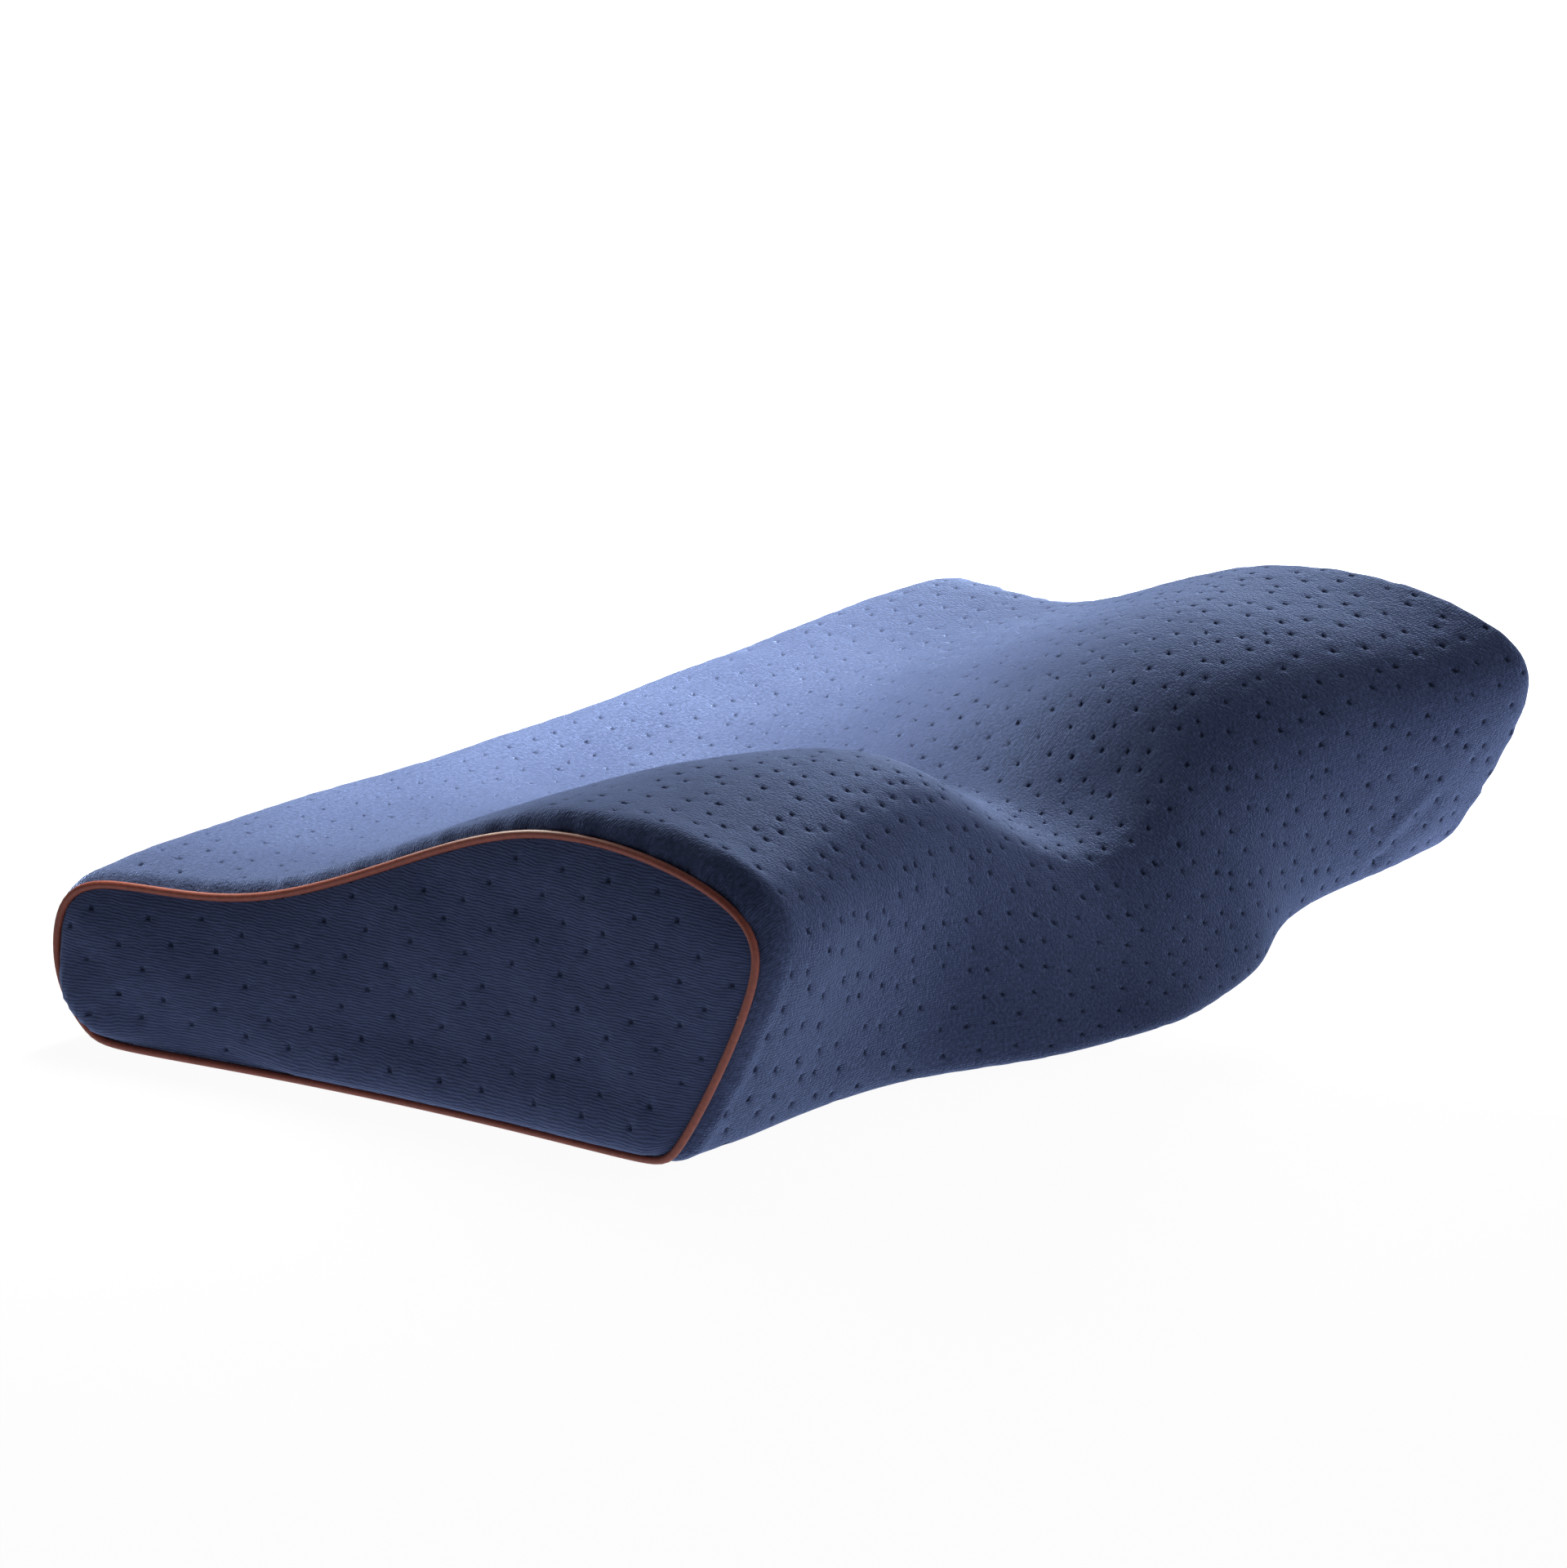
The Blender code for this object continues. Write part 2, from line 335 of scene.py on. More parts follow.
class PillowEnds(bpy.types.PropertyGroup):
    """Sizes and colours of the end panels and the piping"""

    velour_colour: FloatVectorProperty(
        name="Velour colour", description="Colour of the ribbed end panels", subtype="COLOR",
        default=(0.030, 0.042, 0.101), min=0.0, max=1.0,
    )
    puff: FloatProperty(
        name="Panel puff", description="How far the end panel stands out beyond its seam",
        subtype="DISTANCE", default=7.0 * MM, min=0.0, max=20 * MM,
    )
    piping_colour: FloatVectorProperty(
        name="Piping colour", description="Colour of the piping", subtype="COLOR",
        default=(0.19, 0.047, 0.034), min=0.0, max=1.0,
    )
    piping_radius: FloatProperty(
        name="Piping radius", description="Radius of the piping cord", subtype="DISTANCE",
        default=1.7 * MM, min=0.5 * MM, max=6 * MM,
    )
    piping_rounds: IntProperty(
        name="Piping sides", description="Sides of the piping's round section", subtype="UNSIGNED",
        default=12, min=6, max=32,
    )


class PillowStage(bpy.types.PropertyGroup):
    """Sizes, colours and brightness of the floor, the sky, the soft light and the camera"""

    floor_colour: FloatVectorProperty(
        name="Floor colour", description="Colour of the plain floor", subtype="COLOR",
        default=(0.93, 0.925, 0.93), min=0.0, max=1.0,
    )
    glow: FloatVectorProperty(
        name="Floor glow", description="Brightness of the floor on its dim side and on its bright side",
        size=2, default=(1.03, 2.4), min=0.0, max=4.0,
    )
    sky: FloatVectorProperty(
        name="Sky", description="Brightness of the surroundings on their dim side and on their bright side",
        size=2, default=(0.03, 1.22), min=0.0, max=10.0,
    )
    sky_colour: FloatVectorProperty(
        name="Sky colour", description="Colour of the surroundings", subtype="COLOR",
        default=(1.0, 0.99, 0.99), min=0.0, max=1.0,
    )
    sky_turn: FloatProperty(
        name="Sky turn", description="Turn of the sky's bright side from the way that the camera looks",
        subtype="ANGLE", default=math.radians(-65),
    )
    soft_size: FloatVectorProperty(
        name="Soft light size", description="Width and depth of the soft light", size=2,
        default=(0.48, 0.10), min=0.05, max=10.0, subtype="XYZ",
    )
    soft_place: FloatVectorProperty(
        name="Soft light place", description="Place of the soft light above the pillow's back edge", size=3,
        default=(-0.01, 0.165, 0.27), subtype="TRANSLATION",
    )
    soft_colour: FloatVectorProperty(
        name="Soft light colour", description="Colour of the soft light", subtype="COLOR",
        default=(1.0, 0.97, 0.84), min=0.0, max=1.0,
    )
    soft_power: FloatProperty(
        name="Soft light power", description="Power of the soft light", unit="POWER",
        default=5.6, min=0.0, max=2000.0,
    )
    yaw: FloatProperty(
        name="Camera turn", description="Direction the camera looks, from across the pillow",
        subtype="ANGLE", default=math.radians(51.28),
    )
    pitch: FloatProperty(
        name="Camera tilt", description="How far the camera looks down", subtype="ANGLE",
        default=math.radians(16.91),
    )
    roll: FloatProperty(
        name="Camera roll", description="Roll of the camera", subtype="ANGLE",
        default=math.radians(-0.24),
    )
    distance: FloatProperty(
        name="Camera distance", description="Distance from the camera to the pillow", subtype="DISTANCE",
        default=3.323,
    )


def cage_ring(row):
    """The cage points of one section, as (y, z) pairs, from the heel over the top to the toe and back."""
    back, lobe, dip_at, dip, crest_at, crest, shoulder, nose, nose_z, chin, toe, heel = (
        v * MM for v in row[1:]
    )
    return np.array([
        (heel - CORNER_FLAT, 0.0),
        (heel, CORNER_RISE),
        (back, BACK_LOW * lobe),
        (back, BACK_HIGH * lobe),
        (back - LOBE_IN, lobe + LOBE_OVER),
        (0.5 * (back + dip_at), 0.5 * (lobe + dip)),
        (dip_at, dip),
        (0.5 * (dip_at + crest_at), 0.5 * (dip + crest)),
        (crest_at, crest),
        (crest_at + SHOULDER_AT * (nose - crest_at), shoulder),
        (nose, nose_z + NOSE_OVER),
        (chin, nose_z - CHIN_UNDER),
        (0.5 * (chin + toe), FRONT_LOW * nose_z),
        (toe, CORNER_RISE),
        (toe + CORNER_FLAT, 0.0),
        *((heel + stop * (toe - heel), 0.0) for stop in FLOOR_STOPS),
    ])


def outward(ring):
    """Unit outward normals in the section plane at each point of a closed ring."""
    along = np.roll(ring, -1, 0) - np.roll(ring, 1, 0)
    normal = np.column_stack([along[:, 1], -along[:, 0]])
    turn = np.sum(ring[:, 0] * np.roll(ring[:, 1], -1) - np.roll(ring[:, 0], -1) * ring[:, 1])
    normal *= math.copysign(1.0, turn)
    return normal / np.linalg.norm(normal, axis=1)[:, None]


def seam_ring(side):
    """The cage ring at an end seam, drawn in all round and lifted off the surface."""
    ring = cage_ring(SECTIONS[-1])
    drawn = ring - (SEAM_IN_RIGHT if side > 0 else SEAM_IN_LEFT) * outward(ring)
    drawn[:, 1] = np.maximum(drawn[:, 1], SEAM_LIFT)
    return drawn


def cubic(u):
    """The four weights of a smooth cubic curve at the share u between its two middle points."""
    return np.array([
        (1 - u) ** 3,
        3 * u**3 - 6 * u**2 + 4,
        -3 * u**3 + 3 * u**2 + 3 * u + 1,
        u**3,
    ]) / 6


def closed_weights(size, at):
    """Weights of the points of a closed curve at each place round it."""
    rows = np.zeros((len(at), size))
    for row, t in zip(rows, at):
        first = int(math.floor(t))
        for k, w in enumerate(cubic(t - first)):
            row[(first + k - 1) % size] += w
    return rows


def open_weights(size, at):
    """Weights of the points of an open curve at each place along it, so that it ends at its end points."""
    rows = np.zeros((len(at), size))
    for row, t in zip(rows, at):
        first = min(int(math.floor(t)), size - 2)
        for k, w in enumerate(cubic(t - first)):
            place = first + k - 1
            if place < 0:
                row[0] += 2 * w
                row[1] -= w
            elif place >= size:
                row[-1] += 2 * w
                row[-2] -= w
            else:
                row[place] += w
    return rows


class Form:
    """The filling's smooth outer surface, asked for by places along it and round it."""

    def __init__(self):
        half = [cage_ring(row) for row in SECTIONS[:-1]]
        self.rings = np.array([seam_ring(-1), *half[:0:-1], *half, seam_ring(1)])
        self.shares = np.array([-row.at for row in SECTIONS[:0:-1]] + [row.at for row in SECTIONS])
        self.last = len(self.shares) - 1
        self.around = self.rings.shape[1]
        along = np.linspace(0, self.last, MIDDLE_SAMPLES[0])
        raw = self.raw(along, np.linspace(0, self.around, MIDDLE_SAMPLES[1], endpoint=False))
        middle = 0.5 * (raw.min((0, 1)) + raw.max((0, 1)))
        low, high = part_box("pillow_body")
        wanted = 0.5 * (np.array(low) + np.array(high))
        self.shift = np.array([wanted[0] - middle[0], wanted[1] - middle[1], 0.0])

    def raw(self, along, round_at):
        """Points (len(along), len(round_at), 3) before the pillow is centred."""
        a = open_weights(len(self.shares), along)
        b = closed_weights(self.around, round_at)
        yz = np.einsum("as,srk,nr->ank", a, self.rings, b)
        share = (a @ self.shares)[:, None]
        yz[..., 1] *= 1.0 - share * (SETTLE + TWIST * yz[..., 0]) - SAG * share**2
        # Less a third, so that on average the hollow moves the end neither out nor in.
        hollow = END_HOLLOW * ((yz[..., 0] / HOLLOW_SPAN) ** 2 - 1 / 3)
        reach = 0.5 * LENGTH + END_SLANT * yz[..., 0] - END_LEAN * (yz[..., 1] - LEAN_FROM) + hollow
        return np.stack([share * reach, yz[..., 0], yz[..., 1]], -1)

    def points(self, along, round_at):
        """Points of the centred pillow."""
        return self.raw(along, round_at) + self.shift

    def seam(self, side, count):
        """The end seam's curve in space, as evenly spaced points."""
        fine = np.linspace(0, self.around, SEAM_FINENESS * count, endpoint=False)
        end = float(self.last if side > 0 else 0)
        curve = self.points(np.array([end]), fine)[0]
        step = np.linalg.norm(np.roll(curve, -1, 0) - curve, axis=1)
        run = np.concatenate([[0.0], np.cumsum(step)])
        want = np.linspace(0, run[-1], count, endpoint=False)
        closed = np.vstack([curve, curve[:1]])
        return np.column_stack([np.interp(want, run, closed[:, k]) for k in range(3)])


def even_stops(fine, gaps, count):
    """Stops that cut a run of measured gaps into equal lengths."""
    run = np.concatenate([[0.0], np.cumsum(gaps)])
    return np.interp(np.linspace(0, run[-1], count), run, fine)


def staggered_places(width, height, spacing, rise, stray, rng):
    """Staggered rows of places over a flat width by height, each straying a little."""
    places = []
    for row in range(int(height / rise) + 1):
        start = 0.5 * spacing if row % 2 else 0.0
        for column in range(int(width / spacing) + 1):
            x = start + column * spacing + rng.uniform(-stray, stray)
            y = (row + 0.5) * rise + rng.uniform(-stray, stray)
            if 0 < x < width and 0 < y < height:
                places.append((x, y))
    return places


def unevenness(point, layers):
    """Height of the filling's bumps at a point."""
    return sum(noise.noise(point * layer.bumps) * layer.height for layer in layers)


def clear_of_floor(height):
    """0 where the pillow rests, rising to 1 above it."""
    return min(1.0, max(0.0, height - REST_HEIGHT) / REST_FADE)


def gathers(turn):
    """Height of the uneven gathers at a turn round the seam."""
    main = math.sin(GATHERS * turn + GATHER_DRIFT * math.sin(DRIFT_WAVES * turn))
    return main + FINE_SHARE * math.sin(FINE_GATHERS * turn + FINE_START)


def fullness(flat):
    """Where a panel is overfull, from 0 to 1, at each flat point."""
    y, z = flat.T
    corner_y, corner_z = FULL_CORNER
    corner = np.exp(-(((y - corner_y) / FULL_WIDE) ** 2 + ((z - corner_z) / FULL_WIDE) ** 2))
    edge = np.clip((FULL_BELOW - z) / FULL_BELOW_FADE, 0, 1)
    edge *= np.clip((FULL_TO - y) / FULL_TO_FADE, 0, 1)
    edge *= np.clip((y - FULL_FROM) / FULL_FROM_FADE, 0, 1)
    return np.clip(corner + FULL_EDGE * edge, 0, 1)


def hollow_depth(y, z):
    """Depth of a panel's soft hollows at a point of the end's plane."""
    across, up = y / MM, z / MM
    return MM * sum(
        h.deep * math.exp(-((across - h.y) / h.wide) ** 2 - ((up - h.z) / h.tall) ** 2) for h in HOLLOWS
    )


def seam_gap(flat, outline):
    """How far each flat point is from the seam's outline."""
    edge = np.roll(outline, -1, 0) - outline
    size = (edge**2).sum(1)
    gap = np.empty(len(flat))
    for place, point in enumerate(flat):
        share = np.clip(((point - outline) * edge).sum(1) / size, 0, 1)
        gap[place] = np.linalg.norm(outline + share[:, None] * edge - point, axis=1).min()
    return gap


def seam_side(flat, outline):
    """Unit direction out of the panel at the seam point nearest each flat point."""
    nearest = [int(np.linalg.norm(outline - point, axis=1).argmin()) for point in flat]
    return outward(outline)[nearest]


def bend_terms(y, z):
    """The terms of a plane that is bent across, at points of the end's plane."""
    return np.column_stack([np.ones_like(y), y, z, y * y])


def seam_plane(flat, seam):
    """X of the bent plane that the seam lies in, at each flat point."""
    fit = np.linalg.lstsq(bend_terms(seam[:, 1], seam[:, 2]), seam[:, 0], rcond=None)[0]
    return bend_terms(flat[:, 0], flat[:, 1]) @ fit


def map_cloth(bm, width=1.0, height=1.0, start=0.0):
    """Lays the places of a flat net on the cloth's map, in metres."""
    uv = bm.loops.layers.uv.new("Cloth")
    for face in bm.faces:
        for loop in face.loops:
            loop[uv].uv = ((loop.vert.co.x + start) * width, (loop.vert.co.y + start) * height)


def face_middles(bm):
    """The middle of each face of a flat net."""
    return np.array([face.calc_center_median()[:2] for face in bm.faces])


def press_dimples(bm, targets, depth, cell, painted_shade, rng):
    """Presses a small, slightly lopsided pit, with painted shade, into each wanted face that is a full cell
    of the cloth.
    """
    # The share of the dark pit colour that each vertex gets, as painted shade in the pits.
    pressed = bm.verts.layers.float.new("pressed")
    bm.faces.ensure_lookup_table()
    wanted = [bm.faces[index] for index in dict.fromkeys(targets)]
    chosen = [
        face for face in wanted
        if len(face.verts) == 4 and min(edge.calc_length() for edge in face.edges) > PIT_EDGE * cell
    ]
    deep = {face: depth * rng.uniform(*PIT_DEPTHS) for face in chosen}
    for face in chosen:
        normal = face.normal.copy()
        for vert in face.verts:
            vert.co -= normal * PIT_RIM * deep[face]
    for step in PIT_STEPS:
        bmesh.ops.inset_individual(bm, faces=chosen, thickness=step.inset * cell, depth=0.0)
        for face in chosen:
            normal = face.normal.copy()
            edge = face.edges[0].verts[1].co - face.edges[0].verts[0].co
            slide = edge * rng.uniform(-PIT_SLIDE, PIT_SLIDE)
            for vert in face.verts:
                vert.co += slide - normal * step.sink * deep[face]
                vert[pressed] = step.tone * painted_shade


def finish_mesh(bm, name, smooth=True):
    """Turns a bmesh into an object of the scene and frees it."""
    mesh = bpy.data.meshes.new(name)
    bm.to_mesh(mesh)
    bm.free()
    for face in mesh.polygons:
        face.use_smooth = smooth
    made = bpy.data.objects.new(name, mesh)
    bpy.context.scene.collection.objects.link(made)
    return made


def dress(piece, node, look):
    """Gives a piece its finish, attaches it to the root and hides the part that it stands for."""
    piece.data.materials.clear()
    piece.data.materials.append(look)
    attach(piece, "root")
    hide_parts(node)


def tinted(colour, share=1.0):
    """A colour made darker or lighter by a share, with full opacity."""
    return (*(min(1.0, share * value) for value in colour), 1.0)


def tones(colour, stops):
    """Stops of a ramp that goes through shares of one colour."""
    return [(at, tinted(colour, share)) for at, share in stops]


class Nodes:
    """Adds the nodes of a finish or of the sky, each fed with plain values or with other nodes' outputs."""

    def __init__(self, tree):
        self.tree = tree
        self.count = 0

    def feed(self, entry, value):
        """Joins an output to an entry, or sets the entry to a plain value."""
        if isinstance(value, bpy.types.NodeSocket):
            self.tree.links.new(value, entry)
        else:
            entry.default_value = value

    def add(self, kind, entries=(), **settings):
        """Adds a node with its settings; entries are fed by name, or in order where they have no names."""
        node = self.tree.nodes.new(kind)
        self.count += 1
        node.location = (-NODE_STEP * self.count, 0)
        for name, value in settings.items():
            setattr(node, name, value)
        named = entries.items() if isinstance(entries, dict) else enumerate(entries)
        for name, value in named:
            self.feed(node.inputs[name], value)
        return node

    def ramp(self, factor, stops):
        """Colours that change through the stops as the factor rises."""
        node = self.add("ShaderNodeValToRGB", {"Fac": factor})
        elements = node.color_ramp.elements
        first, *between, last = stops
        for element, (at, colour) in zip(elements, (first, last)):
            element.position = at
            element.color = colour
        for at, colour in between:
            elements.new(at).color = colour
        return node.outputs["Color"]

    def mix(self, kind, factor, first, second):
        """Two colours mixed by a factor."""
        node = self.add("ShaderNodeMix", data_type="RGBA", blend_type=kind)
        for place, value in zip(MIX_ENTRIES, (factor, first, second)):
            self.feed(node.inputs[place], value)
        return node.outputs[MIX_RESULT]

    def rising(self, place, direction, rise, levels):
        """Brightness that grows smoothly from one level to another along a direction."""
        along = self.add("ShaderNodeVectorMath", (place, direction), operation="DOT_PRODUCT")
        entries = {
            "Value": along.outputs["Value"],
            "From Min": rise[0], "From Max": rise[1], "To Min": levels[0], "To Max": levels[1],
        }
        return self.add("ShaderNodeMapRange", entries, interpolation_type="SMOOTHSTEP").outputs["Result"]


class Finish(Nodes):
    """One material, with its shader and the places that its patterns can be laid on."""

    def __init__(self, name):
        self.material = bpy.data.materials.new(name)
        self.material.use_nodes = True
        super().__init__(self.material.node_tree)
        self.shader = self.tree.nodes["Principled BSDF"]
        self.places = self.add("ShaderNodeTexCoord").outputs

    def set(self, **values):
        """Feeds the shader's own sockets."""
        for name, value in values.items():
            self.feed(self.shader.inputs[name.replace("_", " ")], value)

    def grain(self, values, place, stretch=None):
        """A cloudy grain laid on the cloth's map or the piece's own places, stretched where wanted."""
        if stretch:
            place = self.add("ShaderNodeMapping", {"Vector": place, "Scale": stretch}).outputs["Vector"]
        return self.add("ShaderNodeTexNoise", {"Vector": place, **values}).outputs["Fac"]

    def ribs(self, values):
        """Fine wavy ribs across the cloth."""
        entries = {"Vector": self.places["UV"], **values}
        return self.add("ShaderNodeTexWave", entries, bands_direction="Y").outputs["Fac"]

    def dimpled(self, colour, pit_shade_colour):
        """The cloth's colour, turning to a darker pit colour in the pressed pits as painted shade."""
        # How much of the darker pit colour is mixed in here: painted shade.
        pit = self.add("ShaderNodeAttribute", attribute_name="pressed").outputs["Fac"]
        return self.mix("MIX", pit, colour, pit_shade_colour)

    def surface(self, look, height):
        """Sets how the finish takes the light, with its grain raised by a height."""
        entries = {"Strength": look.bump, "Distance": look.bump_depth, "Height": height}
        self.set(
            Normal=self.add("ShaderNodeBump", entries).outputs["Normal"], Roughness=look.roughness,
            Sheen_Weight=look.sheen, Sheen_Roughness=look.sheen_roughness, Specular_IOR_Level=look.gloss,
        )


def knit_finish(cover):
    """Short-pile knit: fine cross ribs, a grainy nap and a soft sheen, all laid on the cloth's own map."""
    knit = Finish("navy knit")
    nap = knit.grain(KNIT_NAP, knit.places["UV"], KNIT_NAP_STRETCH)
    cloud = knit.grain(KNIT_CLOUD, knit.places["UV"])
    grained = knit.ramp(nap, tones(cover.knit_colour, KNIT_TONES))
    colour = knit.mix("MULTIPLY", 1.0, grained, knit.ramp(cloud, CLOUD_TINTS))
    entries = (knit.ribs(KNIT_RIBS), KNIT_RIB_SHARE, nap)
    height = knit.add("ShaderNodeMath", entries, operation="MULTIPLY_ADD").outputs["Value"]
    knit.set(
        # The pits of the dimples darken as painted shade.
        Base_Color=knit.dimpled(colour, tinted(cover.knit_colour, KNIT_PIT_SHADE)),
        Sheen_Tint=tinted(cover.nap_colour),
    )
    knit.surface(KNIT_SURFACE, height)
    return knit.material


def velour_finish(ends, cover):
    """Ribbed velour: wavy fine ribs running across the panel, with a velvety sheen."""
    velour = Finish("navy ribbed velour")
    nap = velour.grain(VELOUR_NAP, velour.places["UV"], VELOUR_NAP_STRETCH)
    pile = velour.add("ShaderNodeMath", (nap, VELOUR_NAP_SHARE), operation="MULTIPLY").outputs["Value"]
    entries = (velour.ribs(VELOUR_RIBS), VELOUR_RIB_SHARE, pile)
    height = velour.add("ShaderNodeMath", entries, operation="MULTIPLY_ADD").outputs["Value"]
    colour = velour.ramp(height, tones(ends.velour_colour, VELOUR_TONES))
    velour.set(
        # The darts darken as painted shade.
        Base_Color=velour.dimpled(colour, tinted(ends.velour_colour, VELOUR_PIT_SHADE)),
        Sheen_Tint=tinted(cover.nap_colour),
    )
    velour.surface(VELOUR_SURFACE, height)
    return velour.material


def piping_finish(ends):
    """Smooth brown piping with a slight grain and a soft gloss."""
    piping = Finish("brown piping")
    grain = piping.grain(PIPING_GRAIN, piping.places["Object"])
    piping.set(Base_Color=piping.ramp(grain, tones(ends.piping_colour, PIPING_TONES)))
    piping.surface(PIPING_SURFACE, grain)
    return piping.material


class PILLOW_OT_cover(bpy.types.Operator):
    """Lays the dimpled knit cover round the filling and draws it in to the end seams"""

    bl_idname = "pillow.cover"
    bl_label = "Knit cover"

    def execute(self, context):
        cover = context.scene.pillow_cover
        form = Form()
        points, size = self.even_points(form, cover.cell)
        bm, middles = self.net(points, size)
        rng = np.random.default_rng(COVER_SEED)
        targets = self.dimple_faces(middles, size, cover, rng)
        self.pucker(bm, form, cover)
        self.wrinkle(bm)
        press_dimples(bm, targets, cover.dimple_depth, cover.cell, DIMPLE_PAINTED_SHADE, rng)
        piece = finish_mesh(bm, "knit_cover")
        dress(piece, "pillow_body", knit_finish(cover))
        return {"FINISHED"}

    def even_points(self, form, cell):
        """Points about a cell apart over the whole form, with the cloth's length and its girth."""
        fine_along = np.linspace(0, form.last, CLOTH_SAMPLES[0])
        fine_round = np.linspace(0, form.around, CLOTH_SAMPLES[1])
        fine = form.points(fine_along, fine_round)
        along_gap = np.linalg.norm(np.diff(fine, axis=0), axis=2).mean(1)
        round_gap = np.linalg.norm(np.diff(fine, axis=1), axis=2).mean(0)
        length, girth = along_gap.sum(), round_gap.sum()
        along = even_stops(fine_along, along_gap, round(length / cell) + 1)
        round_at = even_stops(fine_round, round_gap, round(girth / cell) + 1)
        return form.points(along, round_at), (length, girth)

    def net(self, points, size):
        """A flat net with its map, laid through the points and closed, and the middles of its flat faces."""
        columns, rows = points.shape[0] - 1, points.shape[1] - 1
        bm = bmesh.new()
        bmesh.ops.create_grid(bm, x_segments=columns, y_segments=rows, size=FLAT_HALF)
        map_cloth(bm, *size, FLAT_HALF)
        middles = (face_middles(bm) + FLAT_HALF) * size
        for vert in bm.verts:
            column = round((vert.co.x + FLAT_HALF) * columns)
            row = round((vert.co.y + FLAT_HALF) * rows)
            vert.co = points[column, row]
        bmesh.ops.remove_doubles(bm, verts=bm.verts[:], dist=COVER_MERGE)
        bmesh.ops.recalc_face_normals(bm, faces=bm.faces[:])
        return bm, middles

    def dimple_faces(self, middles, size, cover, rng):
        """Numbers of the net's faces that lie under the dimples, clear of the seams."""
        length, girth = size
        rise = DIMPLE_ROWS * cover.dimple_spacing
        places = staggered_places(length, girth, cover.dimple_spacing, rise, DIMPLE_STRAY, rng)
        faces = {}
        for index, cell in enumerate(map(tuple, np.round(middles / cover.cell).astype(int))):
            faces.setdefault(cell, index)
        cells = [
            (round(x / cover.cell), round(y / cover.cell)) for x, y in places
            if DIMPLE_MARGIN < x < length - DIMPLE_MARGIN
        ]
        return [faces[cell] for cell in cells if cell in faces]

    def pucker(self, bm, form, cover):
        """A soft roll and small gathers beside the end seams, none where the pillow rests."""
        for _, side in SIDES:
            seam = form.seam(side, COVER_SEAM_POINTS)
            for vert in bm.verts:
                if vert.co.x * side < ENDS_FROM:
                    continue
                gap = np.linalg.norm(seam - np.array(vert.co), axis=1)
                nearest = int(gap.argmin())
                away = gap[nearest]
                if not SEAM_NEAR <= away <= SEAM_FAR:
                    continue
                fade = math.exp(-away / GATHER_FADE) * min(1.0, away / GATHER_START)
                gather = cover.pucker * gathers(nearest / COVER_SEAM_POINTS * 2 * math.pi) * fade
                roll = cover.seam_roll * math.exp(-((away - ROLL_AT) / ROLL_WIDE) ** 2)
                vert.co += vert.normal * ((gather + roll) * clear_of_floor(vert.co.z))

    def wrinkle(self, bm):
        """Raises the soft wrinkles and a slight unevenness of the filling under the cloth."""
        bm.normal_update()
        where = np.array([vert.co for vert in bm.verts])
        lift = np.zeros(len(where))
        for row in WRINKLES:
            run = np.array((row.run_x, row.run_y, row.run_z))
            run /= np.linalg.norm(run)
            off = where - np.array((row.x, row.y, row.z)) * MM
            along = off @ run
            aside = np.linalg.norm(off - along[:, None] * run, axis=1)
            lift += row.high * MM * np.exp(-((along / (row.half * MM)) ** 2) - (aside / (row.wide * MM)) ** 2)
        for vert, rise in zip(bm.verts, lift):
            uneven = unevenness(vert.co, COVER_UNEVEN) * clear_of_floor(vert.co.z)
            vert.co += vert.normal * (rise + uneven)


